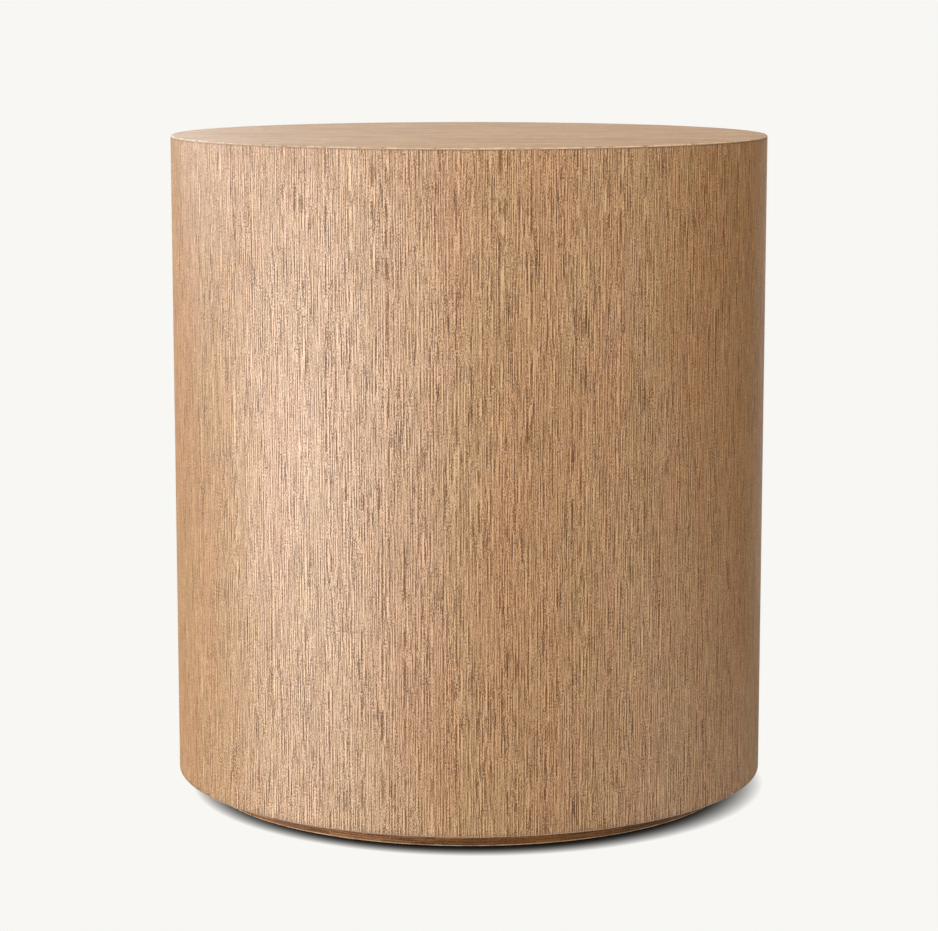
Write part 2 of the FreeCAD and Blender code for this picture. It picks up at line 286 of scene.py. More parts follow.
def makeBrushedGrain():
    # straight oak grain with the soft wood brushed out: lines, open pores, tint patches and relief
    group, given, result = startGroup("brushedGrain", [
        ("Across", "Float", 0.0), ("Along", "Float", 0.0),
        ("Ridge Spacing", "Float", 0.0022), ("Ridge Length", "Float", 0.014),
        ("Pore Width", "Float", 0.0006), ("Pore Length", "Float", 0.007),
        ("Patch Width", "Float", 0.010), ("Patch Length", "Float", 0.07),
        ("Tint Width", "Float", 0.035), ("Tint Length", "Float", 0.24),
    ], [("Lines", "Float"), ("Pores", "Float"), ("Tint", "Float"), ("Relief", "Float")])
    along, spacing, length = given["Along"], given["Ridge Spacing"], given["Ridge Length"]

    form = grainForm["drift"]
    drift = stretchedNoise(group, given["Across"], along, form["width"], form["length"], 1.0)
    across = calc(group, "ADD", given["Across"], swing(group, drift, form["sway"]))

    form = grainForm["patch"]
    patch = stretchedNoise(group, across, along, given["Patch Width"], given["Patch Length"], 1.0)
    contrast = spread(group, patch, form["low"], form["high"], form["calm"], form["bold"])

    form = grainForm["wander"]
    wander = stretchedNoise(group, across, along, form["width"], form["length"], 1.0)
    even = calc(group, "MULTIPLY", calc(group, "DIVIDE", across, spacing), fullTurn)
    phase = calc(group, "ADD", even, calc(group, "MULTIPLY", wander, form["angle"]))

    form = grainForm["dash"]
    dash = fibreStrips(group, across, along, spacing, length, form["seed"])
    height = spread(group, dash, form["low"], form["high"], form["faint"], form["full"])
    total = calc(group, "MULTIPLY", calc(group, "SINE", phase), height)

    for form in grainForm["strips"]:
        stripWidth = calc(group, "MULTIPLY", spacing, form["width"])
        stripLength = calc(group, "MULTIPLY", length, form["length"])
        strips = fibreStrips(group, across, along, stripWidth, stripLength, form["seed"])
        total = calc(group, "ADD", total, swing(group, strips, form["share"]))

    form = grainForm["grit"]
    grit = stretchedNoise(group, across, along, form["width"], form["length"], 0.0)
    total = calc(group, "ADD", total, swing(group, grit, form["share"]))
    level = calc(group, "ADD", calc(group, "MULTIPLY", total, contrast), 0.5, clamp=True)

    form = grainForm["pore"]
    dashes = fibreStrips(group, across, along, given["Pore Width"], given["Pore Length"], form["seed"])
    opened = spread(group, dashes, form["low"], form["high"])
    pores = calc(group, "MULTIPLY", opened, contrast, clamp=True)
    relief = calc(group, "SUBTRACT", level, calc(group, "MULTIPLY", pores, form["depth"]))

    tint = stretchedNoise(group, across, along, given["Tint Width"], given["Tint Length"], 2.0)
    for title, socket in (("Lines", level), ("Pores", pores), ("Tint", tint), ("Relief", relief)):
        group.links.new(socket, result[title])
    return group


edgeForm = {"scale": 140.0, "low": 0.3, "high": 0.6, "least": 0.35}


def makeEdgeWearAndPaintedLight():
    # an edge mark, strongest on the edge and broken up along it: wear on some edges, painted shade and
    # painted highlights on others
    group, given, result = startGroup("edgeWearAndPaintedLight", [
        ("Distance", "Float", 0.0), ("Width", "Float", 0.002), ("Place", "Vector", None),
    ], [("Mark", "Float")])
    near = spread(group, calc(group, "DIVIDE", given["Distance"], given["Width"]), 0.0, 1.0, 1.0, 0.0)
    noise = addNode(group, "TexNoise", {
        "Vector": given["Place"], "Scale": edgeForm["scale"], "Detail": 2.0}).outputs["Fac"]
    broken = spread(group, noise, edgeForm["low"], edgeForm["high"], edgeForm["least"], 1.0)
    group.links.new(calc(group, "MULTIPLY", near, broken), result["Mark"])
    return group


plyForm = {"raggedScale": 60.0, "ragged": 0.3, "layerEdge": (0.22, 0.28), "glueEdge": (0.42, 0.48)}


def makePlyLayers():
    # plies of two tones with thin dark glue lines between them, counted along a depth
    group, given, result = startGroup("plyLayers", [
        ("Depth", "Float", 0.0), ("Ply", "Float", 0.0015), ("Place", "Vector", None),
    ], [("Layer", "Float"), ("Glue", "Float")])
    ragged = addNode(group, "TexNoise", {
        "Vector": given["Place"], "Scale": plyForm["raggedScale"], "Detail": 2.0}).outputs["Fac"]
    even = calc(group, "DIVIDE", given["Depth"], given["Ply"])
    count = calc(group, "ADD", even, swing(group, ragged, plyForm["ragged"]))
    half = calc(group, "FRACT", calc(group, "MULTIPLY", count, 0.5))
    pair = calc(group, "ABSOLUTE", calc(group, "SUBTRACT", half, 0.5))
    within = calc(group, "ABSOLUTE", calc(group, "SUBTRACT", calc(group, "FRACT", count), 0.5))
    group.links.new(spread(group, pair, *plyForm["layerEdge"]), result["Layer"])
    group.links.new(spread(group, within, *plyForm["glueEdge"]), result["Glue"])
    return group


mottleForm = {"fineRatio": 14.0, "cloudDetail": 4.0, "fineDetail": 1.0}


def makeSoftMottle():
    # faint cloudy marks that break up a plain finish
    group, given, result = startGroup("softMottle", [
        ("Place", "Vector", None), ("Scale", "Float", 40.0),
    ], [("Mottle", "Float"), ("Fine", "Float")])
    fineScale = calc(group, "MULTIPLY", given["Scale"], mottleForm["fineRatio"])
    for title, scale, detail in (("Mottle", given["Scale"], mottleForm["cloudDetail"]),
                                 ("Fine", fineScale, mottleForm["fineDetail"])):
        noise = addNode(group, "TexNoise", {"Vector": given["Place"], "Scale": scale, "Detail": detail})
        group.links.new(noise.outputs["Fac"], result[title])
    return group


brushedGrain = makeBrushedGrain()
edgeWearAndPaintedLight = makeEdgeWearAndPaintedLight()
plyLayers = makePlyLayers()
softMottle = makeSoftMottle()
print("effects:", len(bpy.data.node_groups), "node groups")


# Finishes

# parts of each effect's run over which a finish changes
veneerRange = {
    "warm": (0.36, 0.64), "fleck": (0.4, 0.6), "sheen": (0.2, 0.8),
    "lacquer": (0.1, 0.9), "grazing": (0.5, 0.95)}


def edgeDistance(tree, edge, axis):
    if edge["from"] == "outside":
        return calc(tree, "SUBTRACT", edge["at"], radiusAt(tree, axis["X"], axis["Y"]))
    if edge["from"] == "above":
        return calc(tree, "SUBTRACT", edge["at"], axis["Z"])
    return calc(tree, "SUBTRACT", axis["Z"], edge["at"])


def makeOakVeneer(name, look):
    material, tree, shader = startMaterial(
        name, Specular_IOR_Level=look["gloss"],
        Coat_IOR=look["lacquerIndex"], Coat_Roughness=look["lacquerRough"])
    place = splitAxes(tree, addNode(tree, "UVMap", uv_map="Grain").outputs[0])
    point = objectPoint(tree)
    grain = useGroup(tree, brushedGrain, {
        "Across": place["X"], "Along": place["Y"],
        "Ridge Spacing": look["ridgeSpacing"], "Ridge Length": look["ridgeLength"],
        "Pore Width": look["poreWidth"], "Pore Length": look["poreLength"],
        "Tint Width": look["tintWidth"], "Tint Length": look["tintLength"]})
    mottle = useGroup(tree, softMottle, {"Place": point, "Scale": look["mottleScale"]})

    wood = mixColour(tree, grain["Lines"], look["dark"], look["pale"])
    if look["fleck"] > 0.0:
        fleck = spread(tree, mottle["Fine"], *veneerRange["fleck"], 0.0, look["fleck"])
        wood = mixColour(tree, fleck, wood, look["pore"])
    warm = spread(tree, grain["Tint"], *veneerRange["warm"])
    tint = mixColour(tree, warm, look["pinkTint"], look["yellowTint"])
    wood = mixColour(tree, 1.0, wood, tint, "MULTIPLY")
    pores = calc(tree, "MULTIPLY", grain["Pores"], look["poreStrength"])
    wood = mixColour(tree, pores, wood, look["pore"])
    axis = splitAxes(tree, point)
    for edge in look["edges"]:
        edgeMark = useGroup(tree, edgeWearAndPaintedLight, {
            "Distance": edgeDistance(tree, edge, axis), "Width": edge["width"], "Place": point})
        markShare = calc(tree, "MULTIPLY", edgeMark["Mark"], edge["edgeMark"])
        wood = mixColour(tree, markShare, wood, edge["tone"])
    tree.links.new(wood, shader.inputs["Base Color"])

    rough = spread(tree, grain["Relief"], *veneerRange["sheen"], look["roughLow"], look["roughHigh"])
    rough = calc(tree, "ADD", rough, swing(tree, mottle["Mottle"], look["roughMottle"]))
    tree.links.new(rough, shader.inputs["Roughness"])
    lacquer = spread(
        tree, grain["Relief"], *veneerRange["lacquer"], look["lacquerLow"], look["lacquerHigh"])
    if look["lacquerGrazing"] < 1.0:
        facing = addNode(tree, "LayerWeight", {"Blend": 0.5}).outputs["Facing"]
        damped = spread(tree, facing, *veneerRange["grazing"], 1.0, look["lacquerGrazing"])
        lacquer = calc(tree, "MULTIPLY", lacquer, damped)
    tree.links.new(lacquer, shader.inputs["Coat Weight"])
    bumpInto(tree, shader, grain["Relief"], look["reliefStrength"], look["reliefDepth"])
    return material


_, drumRadius, drumBottom, leafTop = ringOf("side_veneer_leaf_01")

sideFinish = {
    "dark": colour(107, 67, 29), "pale": colour(195, 152, 106),
    "pinkTint": (1.02, 0.97, 0.95, 1.0), "yellowTint": (1.0, 1.02, 0.98, 1.0),
    "tintWidth": 0.035, "tintLength": 0.24,
    "pore": colour(62, 35, 12), "poreStrength": 0.85,
    "ridgeSpacing": 0.0020, "ridgeLength": 0.022, "poreWidth": 0.00045, "poreLength": 0.032,
    "mottleScale": 30.0, "fleck": 0.0,
    "gloss": 0.1, "roughLow": 0.5, "roughHigh": 0.58, "roughMottle": 0.08,
    "lacquerIndex": 2.2, "lacquerRough": 0.45, "lacquerLow": 0.19, "lacquerHigh": 0.85,
    "lacquerGrazing": 0.4,      # share of the lacquer left where the wall is seen edge-on
    "reliefStrength": 0.6, "reliefDepth": 0.0005,
    "edges": [
        # a darker line along the top of the wall, where the top veneer meets it
        {"from": "above", "at": leafTop, "width": 0.0013, "edgeMark": 0.75, "tone": colour(84, 56, 34)},
        # painted shade: a darker band along the wall's lower rim, where the rounded-under edge turns
        # away from the light
        {"from": "below", "at": drumBottom, "width": 0.0046, "edgeMark": 0.5, "tone": colour(92, 70, 52)},
        # a pale line on the very lower edge: partly wear, partly a painted highlight where the eased
        # edge catches the light
        {"from": "below", "at": drumBottom, "width": 0.0012, "edgeMark": 0.7, "tone": colour(206, 172, 140)},
    ],
}
topFinish = dict(
    sideFinish, dark=colour(121, 88, 55), pale=colour(180, 144, 105),
    pinkTint=(0.86, 0.84, 0.83, 1.0), yellowTint=(1.10, 1.10, 1.09, 1.0),
    tintWidth=0.011, tintLength=0.15, poreStrength=0.35,
    ridgeSpacing=0.0039, ridgeLength=0.045, poreLength=0.03,
    mottleScale=12.0, fleck=0.12,
    lacquerIndex=1.35, lacquerLow=0.1, lacquerHigh=0.6, lacquerGrazing=1.0, reliefStrength=0.3,
    edges=[
        # painted highlight: a pale line round the top's eased rim
        {"from": "outside", "at": drumRadius, "width": 0.0012, "edgeMark": 0.6,
         "tone": colour(228, 200, 170)},
        # a darker line along the foot of the top's rim, where it meets the wall
        {"from": "below", "at": leafTop, "width": 0.0009, "edgeMark": 0.8, "tone": colour(84, 56, 34)},
    ])
# the band's oak is set darker than the wall's: partly a darker stain, partly painted shade of the recess
# under the drum's overhang
bandFinish = dict(
    sideFinish, dark=colour(84, 50, 19), pale=colour(132, 88, 44),
    pinkTint=(0.78, 0.76, 0.76, 1.0), yellowTint=(1.24, 1.24, 1.24, 1.0),
    tintWidth=0.006, tintLength=0.05, poreStrength=0.6, lacquerIndex=1.36,
    edges=[{"from": "below", "at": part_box("base_edge_band")[0].z, "width": 0.0013, "edgeMark": 0.85,
            "tone": colour(212, 184, 154)}])

oakSide = makeOakVeneer("oakSideVeneer", sideFinish)
oakTop = makeOakVeneer("oakTopVeneer", topFinish)
oakBand = makeOakVeneer("oakBaseBand", bandFinish)

plywoodGrain = {"Ridge Spacing": 0.006, "Ridge Length": 0.05, "Pore Width": 0.0014, "Pore Length": 0.02}
plywoodFace = {"poreStrength": 0.4, "sheen": (0.2, 0.8), "roughSpan": 0.1,
               "reliefStrength": 0.35, "reliefDepth": 0.0003, "edgeOn": (0.5, 0.8)}


def makePlywood(name, look):
    material, tree, shader = startMaterial(name)
    point = objectPoint(tree)
    axis = splitAxes(tree, point)
    normal = splitAxes(tree, addNode(tree, "NewGeometry").outputs["Normal"])
    upward = calc(tree, "ABSOLUTE", normal["Z"])
    if look["layersRun"] == "round":
        depth = radiusAt(tree, axis["X"], axis["Y"])
        edgeOn = spread(tree, upward, *plywoodFace["edgeOn"])
        across = calc(tree, "MULTIPLY", calc(tree, "ARCTAN2", axis["Y"], axis["X"]), drumRadius)
        along = axis["Z"]
    else:
        depth = axis["Z"]
        edgeOn = spread(tree, upward, *plywoodFace["edgeOn"], 1.0, 0.0)
        across, along = axis["Y"], axis["X"]
    layers = useGroup(tree, plyLayers, {"Depth": depth, "Ply": look["ply"], "Place": point})
    grain = useGroup(tree, brushedGrain, dict(plywoodGrain, Across=across, Along=along))
    faceWood = mixColour(tree, grain["Lines"], look["dark"], look["pale"])
    pores = calc(tree, "MULTIPLY", grain["Pores"], plywoodFace["poreStrength"])
    faceWood = mixColour(tree, pores, faceWood, look["glue"])
    edgeWood = mixColour(tree, layers["Layer"], look["dark"], look["pale"])
    edgeWood = mixColour(tree, layers["Glue"], edgeWood, look["glue"])
    tree.links.new(mixColour(tree, edgeOn, faceWood, edgeWood), shader.inputs["Base Color"])
    dull = look["rough"] + plywoodFace["roughSpan"]
    rough = spread(tree, grain["Relief"], *plywoodFace["sheen"], dull, look["rough"])
    tree.links.new(rough, shader.inputs["Roughness"])
    bumpInto(tree, shader, grain["Relief"], plywoodFace["reliefStrength"], plywoodFace["reliefDepth"])
    return material


plywoodFinishes = {
    "bendingPlywood": {
        "dark": colour(176, 140, 100), "pale": colour(206, 174, 132), "glue": colour(104, 76, 50),
        "ply": 0.0017, "layersRun": "round", "rough": 0.6},
    "panelPlywood": {
        "dark": colour(184, 150, 108), "pale": colour(214, 184, 142), "glue": colour(112, 82, 54),
        "ply": 0.0014, "layersRun": "flat", "rough": 0.58},
    "stainedPlywood": {
        "dark": colour(58, 42, 30), "pale": colour(84, 62, 44), "glue": colour(34, 25, 18),
        "ply": 0.0014, "layersRun": "flat", "rough": 0.55},
}
plywoods = {name: makePlywood(name, look) for name, look in plywoodFinishes.items()}

studFinish = {
    "latewood": colour(196, 150, 92), "earlywood": colour(230, 200, 150), "rough": 0.62,
    "ringWidth": 0.006, "ringLength": 0.3, "poreWidth": 0.001, "poreLength": 0.03,
    "reliefStrength": 0.3, "reliefDepth": 0.0003}


def makeStudSoftwood(look):
    material, tree, shader = startMaterial("studSoftwood", Roughness=look["rough"])
    axis = splitAxes(tree, objectPoint(tree))
    grain = useGroup(tree, brushedGrain, {
        "Across": calc(tree, "ADD", axis["X"], axis["Y"]), "Along": axis["Z"],
        "Ridge Spacing": look["ringWidth"], "Ridge Length": look["ringLength"],
        "Pore Width": look["poreWidth"], "Pore Length": look["poreLength"]})
    wood = mixColour(tree, grain["Lines"], look["latewood"], look["earlywood"])
    tree.links.new(wood, shader.inputs["Base Color"])
    bumpInto(tree, shader, grain["Relief"], look["reliefStrength"], look["reliefDepth"])
    return material


studSoftwood = makeStudSoftwood(studFinish)

zincFinish = {
    "dull": colour(150, 152, 154), "bright": colour(206, 208, 210), "mottleScale": 220.0,
    "fine": (0.3, 0.7), "rough": (0.26, 0.42), "reliefStrength": 0.15, "reliefDepth": 0.0001}


def makeZincSteel(look):
    material, tree, shader = startMaterial("zincSteel", Metallic=1.0)
    mottle = useGroup(tree, softMottle, {"Place": objectPoint(tree), "Scale": look["mottleScale"]})
    metal = mixColour(tree, mottle["Mottle"], look["dull"], look["bright"])
    tree.links.new(metal, shader.inputs["Base Color"])
    rough = spread(tree, mottle["Fine"], *look["fine"], *look["rough"])
    tree.links.new(rough, shader.inputs["Roughness"])
    bumpInto(tree, shader, mottle["Fine"], look["reliefStrength"], look["reliefDepth"])
    return material


zincSteel = makeZincSteel(zincFinish)

nylonFinish = {
    "body": colour(58, 57, 55), "shade": colour(40, 39, 38), "scuff": colour(112, 110, 106),
    "scuffWidth": 0.0012, "scuffStrength": 0.5, "mottleScale": 90.0,
    "depthWeight": 0.08, "depthScale": 0.001,
    "fine": (0.3, 0.7), "rough": (0.4, 0.52), "reliefStrength": 0.2, "reliefDepth": 0.00008}


def makeNylon(look):
    material, tree, shader = startMaterial(
        "mouldedNylon", Subsurface_Weight=look["depthWeight"], Subsurface_Scale=look["depthScale"])
    point = objectPoint(tree)
    mottle = useGroup(tree, softMottle, {"Place": point, "Scale": look["mottleScale"]})
    edgeMark = useGroup(tree, edgeWearAndPaintedLight, {
        "Distance": splitAxes(tree, point)["Z"], "Width": look["scuffWidth"], "Place": point})
    body = mixColour(tree, mottle["Mottle"], look["shade"], look["body"])
    scuffed = calc(tree, "MULTIPLY", edgeMark["Mark"], look["scuffStrength"])
    tree.links.new(mixColour(tree, scuffed, body, look["scuff"]), shader.inputs["Base Color"])
    rough = spread(tree, mottle["Fine"], *look["fine"], *look["rough"])
    tree.links.new(rough, shader.inputs["Roughness"])
    bumpInto(tree, shader, mottle["Fine"], look["reliefStrength"], look["reliefDepth"])
    return material


mouldedNylon = makeNylon(nylonFinish)
print("finishes:", len(bpy.data.materials), "materials")


# Veneer leaves share one way of laying out the map that a finish is baked on

bakeSheet = {"margin": 0.004, "width": 0.98, "height": 0.99, "hiddenAcross": 0.4, "hiddenDepth": 0.5}


def bakePlace(shown, across, along, depth, hidden):
    # the shown face takes nearly the whole sheet, and the others a strip down its right side
    margin = bakeSheet["margin"]
    up = margin + along * bakeSheet["height"]
    if shown:
        return margin + across * (bakeSheet["width"] - hidden), up
    strip = bakeSheet["hiddenAcross"] * across + bakeSheet["hiddenDepth"] * depth
    return 1.0 - margin - hidden * strip, up


# Side veneer: upright leaves with a rounded lower rim

sideLeaf = {"arcSteps": 48, "lowerRound": 0.0010, "roundSteps": 5, "mapHidden": 0.02}


def buildSideLeaf(number, node, count):
    inner, outer, bottom, top = ringOf(node)
    step = fullTurn / count
    middle = step * number
    arcSteps = sideLeaf["arcSteps"]
    angles = [middle + step * (k / arcSteps - 0.5) for k in range(arcSteps + 1)]
    profile = quarterRound(outer, bottom, sideLeaf["lowerRound"], sideLeaf["roundSteps"], 1)
    profile += [(outer, top), (inner, top), (inner, bottom)]
    bm = bmesh.new()
    rows = [[(r * math.cos(a), r * math.sin(a), z) for a in angles] for r, z in profile]
    grid, bands = skinRows(bm, rows, wrap=False, loop=True)
    bm.faces.new([row[0] for row in grid])
    bm.faces.new([row[-1] for row in reversed(grid)])
    shown = {face for band in bands[:sideLeaf["roundSteps"] + 1] for face in band}

    def turnOf(co):
        turn = math.atan2(co.y, co.x) - middle
        return (turn + math.pi) % fullTurn - math.pi

    def grain(face, co):
        return outer * (middle + turnOf(co)), co.z

    def bake(face, co):
        share = turnOf(co) / step + 0.5
        height = (co.z - bottom) / (top - bottom)
        depth = (math.hypot(co.x, co.y) - inner) / (outer - inner)
        return bakePlace(face in shown, share, height, depth, sideLeaf["mapHidden"])

    writeMap(bm, "Grain", grain)
    writeMap(bm, "OFBake", bake)
    makePiece(bm, f"side_leaf_{number:02d}", "table", node, oakSide)


sideNodes = nodesNamed("side_veneer_leaf_")
for number, node in enumerate(sideNodes, start=1):
    buildSideLeaf(number, node, len(sideNodes))
print("side veneer:", len(sideNodes), "leaves")


# Top veneer: one disc with a rounded rim, cut along X into leaves

topLeaf = {"turnSteps": 480, "rimRound": 0.0012, "roundSteps": 6, "mapHidden": 0.03, "shownTilt": 0.02}


def cutAt(bm, level, keepFar):
    parts = bm.verts[:] + bm.edges[:] + bm.faces[:]
    cut = bmesh.ops.bisect_plane(
        bm, geom=parts, plane_co=(0, level, 0), plane_no=(0, 1, 0),
        clear_inner=keepFar, clear_outer=not keepFar)
    edges = [item for item in cut["geom_cut"] if isinstance(item, bmesh.types.BMEdge)]
    bmesh.ops.contextual_create(bm, geom=edges)


def buildTopLeaf(number, node):
    low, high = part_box(node)
    rim = quarterRound(drumRadius, high.z, topLeaf["rimRound"], topLeaf["roundSteps"], -1)
    bm = bmesh.new()
    profile = [(drumRadius, low.z)] + rim
    skinRows(bm, [ringPoints(r, z, topLeaf["turnSteps"]) for r, z in profile])
    if low.y > -drumRadius + topLeaf["rimRound"]:
        cutAt(bm, low.y, True)
    if high.y < drumRadius - topLeaf["rimRound"]:
        cutAt(bm, high.y, False)

    def grain(face, co):
        return co.y + (high.z - co.z), co.x

    def bake(face, co):
        share = (co.y - low.y) / (high.y - low.y)
        length = co.x / drumRadius / 2 + 0.5
        depth = (co.z - low.z) / (high.z - low.z)
        shown = face.normal.z > topLeaf["shownTilt"]
        return bakePlace(shown, share, length, depth, topLeaf["mapHidden"])

    bm.normal_update()
    writeMap(bm, "Grain", grain)
    writeMap(bm, "OFBake", bake)
    makePiece(bm, f"top_leaf_{number}", "table", node, oakTop)


topNodes = nodesNamed("top_veneer_leaf_")
for number, node in enumerate(topNodes, start=1):
    buildTopLeaf(number, node)
print("top veneer:", len(topNodes), "leaves")


# Band round the recessed base, its grain running round

baseBand = {"turnSteps": 360, "lowerRound": 0.0008, "upperRound": 0.0003, "roundSteps": 4}


def buildBaseBand():
    inner, outer, bottom, top = ringOf("base_edge_band")
    profile = quarterRound(outer, bottom, baseBand["lowerRound"], baseBand["roundSteps"], 1)
    profile += quarterRound(outer, top, baseBand["upperRound"], baseBand["roundSteps"], -1)
    profile += [(inner, top), (inner, bottom)]
    bm = bmesh.new()
    skinRows(bm, [ringPoints(r, z, baseBand["turnSteps"]) for r, z in profile], loop=True)

    def grain(face, co):
        middle = face.calc_center_median()
        facing = math.atan2(middle.y, middle.x)
        turn = (math.atan2(co.y, co.x) - facing + math.pi) % fullTurn - math.pi
        return co.z, outer * (facing + turn)

    writeMap(bm, "Grain", grain)
    makePiece(bm, "base_band", "table", "base_edge_band", oakBand)


buildBaseBand()
print("base band done")


# Fasteners: threads, driver recesses and heads

threadForm = {"flank": 2.4, "crest": 1.25}


def threadRows(bottom, top, pitch, minor, major, steps, stepsPerPitch, centre):
    # rows of a threaded rod whose ridge climbs one pitch for each turn and fades out at both ends
    rows = []
    count = max(2, round((top - bottom) / pitch * stepsPerPitch))
    for row in range(count + 1):
        level = bottom + (top - bottom) * row / count
        run = min(level - bottom, top - level) / pitch
        points = []
        for step in range(steps):
            turn = fullTurn * step / steps
            phase = (level / pitch - step / steps) % 1.0
            ridge = max(0.0, 1.0 - abs(phase - 0.5) * threadForm["flank"]) * min(1.0, run)
            radius = minor + (major - minor) * min(1.0, ridge * threadForm["crest"])
            x, y = centre[0] + radius * math.cos(turn), centre[1] + radius * math.sin(turn)
            points.append((x, y, level))
        rows.append(points)
    return rows


def recessedFace(bm, rim, outline, depth, taper):
    # closes a ring of vertices with a face that has a driver recess sunk along depth
    mouth = [bm.verts.new(point) for point in outline]
    centre = sum((v.co for v in mouth), Vector()) / len(mouth)
    floor = [bm.verts.new(centre + (v.co - centre) * taper + Vector(depth)) for v in mouth]
    edges = []
    for ring in (rim, mouth):
        for pair in zip(ring[-1:] + ring[:-1], ring):
            edges.append(bm.edges.get(pair) or bm.edges.new(pair))
    bmesh.ops.triangle_fill(bm, use_beauty=True, edges=edges)
    for k in range(len(mouth)):
        bm.faces.new((mouth[k - 1], mouth[k], floor[k], floor[k - 1]))
    bm.faces.new(floor)


def crossOutline(arm, halfWidth, level):
    corners = []
    for quarter in range(4):
        turn = Matrix.Rotation(math.pi / 2 * quarter, 3, "Z")
        for point in ((arm, -halfWidth, 0), (arm, halfWidth, 0), (halfWidth, halfWidth, 0)):
            corners.append(turn @ Vector(point) + Vector((0, 0, level)))
    return corners


def looseParts(node):
    # points of each separate solid of a node
    bm = bmesh.new()
    bm.from_mesh(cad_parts[node].data)
    bmesh.ops.remove_doubles(bm, verts=bm.verts[:], dist=1e-6)
    seen, groups = set(), []
    for first in bm.verts:
        if first in seen:
            continue
        seen.add(first)
        todo, found = [first], []
        while todo:
            vertex = todo.pop()
            found.append(vertex.co.copy())
            for edge in vertex.link_edges:
                other = edge.other_vert(vertex)
                if other not in seen:
                    seen.add(other)
                    todo.append(other)
        groups.append(found)
    bm.free()
    return groups


def appendMesh(bm, other):
    mesh = bpy.data.meshes.new("joined")
    other.to_mesh(mesh)
    other.free()
    bm.from_mesh(mesh)
    bpy.data.meshes.remove(mesh)


woodScrew = {
    "shank": 0.0017, "plainShare": 0.36, "headFlat": 0.0003, "turnSteps": 24, "stepsPerPitch": 8,
    "threadMinor": 0.0013, "threadWiden": 1.16, "threadPitch": 0.0018, "threadStart": 0.0004,
    "recessArm": 0.0022, "recessHalf": 0.00055, "recessDepth": 0.0017, "recessTaper": 0.45,
    "tip": 0.004, "tipShares": (0.66, 0.33, 0.04),
    "stopTurn": (40, 90),       # each screw stops at a turn of its own, set by its place
}


def addScrew(bm, length, headRadius):
    # a countersunk wood screw with its head at level 0, driven along +Z
    steps = woodScrew["turnSteps"]
    shank, minor, tip = woodScrew["shank"], woodScrew["threadMinor"], woodScrew["tip"]
    neck = woodScrew["headFlat"] + headRadius - shank
    plainEnd = length * woodScrew["plainShare"]
    tipStart = length - tip
    profile = [(headRadius, 0.0), (headRadius, woodScrew["headFlat"]), (shank, neck), (shank, plainEnd)]
    rows = [ringPoints(radius, level, steps) for radius, level in profile]
    rows += threadRows(
        plainEnd + woodScrew["threadStart"], tipStart, woodScrew["threadPitch"], minor,
        shank * woodScrew["threadWiden"], steps, woodScrew["stepsPerPitch"], (0.0, 0.0))
    for share in woodScrew["tipShares"]:
        rows.append(ringPoints(minor * share, tipStart + tip * (1 - share), steps))
    grid, _ = skinRows(bm, rows, caps=False)
    bm.faces.new(grid[-1])
    cross = crossOutline(woodScrew["recessArm"], woodScrew["recessHalf"], 0.0)
    recessedFace(bm, grid[0], cross, (0, 0, woodScrew["recessDepth"]), woodScrew["recessTaper"])


def buildScrewSet(name, node, way):
    # all screws of one set; way 1 is driven upwards and -1 downwards
    bm = bmesh.new()
    for points in looseParts(node):
        middle = sum(points, Vector()) / len(points)
        xs = [point.x for point in points]
        ys = [point.y for point in points]
        levels = [point.z for point in points]
        centre = ((min(xs) + max(xs)) / 2, (min(ys) + max(ys)) / 2)
        headRadius = max(reachOf(point, centre) for point in points)
        headLevel = min(levels) if way > 0 else max(levels)
        one = bmesh.new()
        addScrew(one, max(levels) - min(levels), headRadius)
        flip = Matrix.Identity(4) if way > 0 else Matrix.Rotation(math.pi, 4, "X")
        stop = middle.x * woodScrew["stopTurn"][0] + middle.y * woodScrew["stopTurn"][1]
        place = Matrix.Translation((*centre, headLevel)) @ flip @ Matrix.Rotation(stop, 4, "Z")
        bmesh.ops.transform(one, matrix=place, verts=one.verts[:])
        appendMesh(bm, one)
    makePiece(bm, name, "table", node, zincSteel)


buildScrewSet("top_screws", "top_panel_screws", -1)
buildScrewSet("bottom_screws", "bottom_panel_screws", 1)
buildScrewSet("base_board_screws", "base_screws", 1)
print("screw sets done")


# Levellers: threaded stems with a hexagon socket, and moulded feet that turn on their heads

levellerStem = {
    "pitch": 0.00125, "threadDepth": 0.00072, "turnSteps": 32, "stepsPerPitch": 8,
    "headEase": 0.0004, "plainNeck": 0.001, "tipShare": 0.86,
    "keyHalf": 0.0025, "keyDepth": 0.002, "keyFloor": 0.00002, "keyClear": 0.0002}


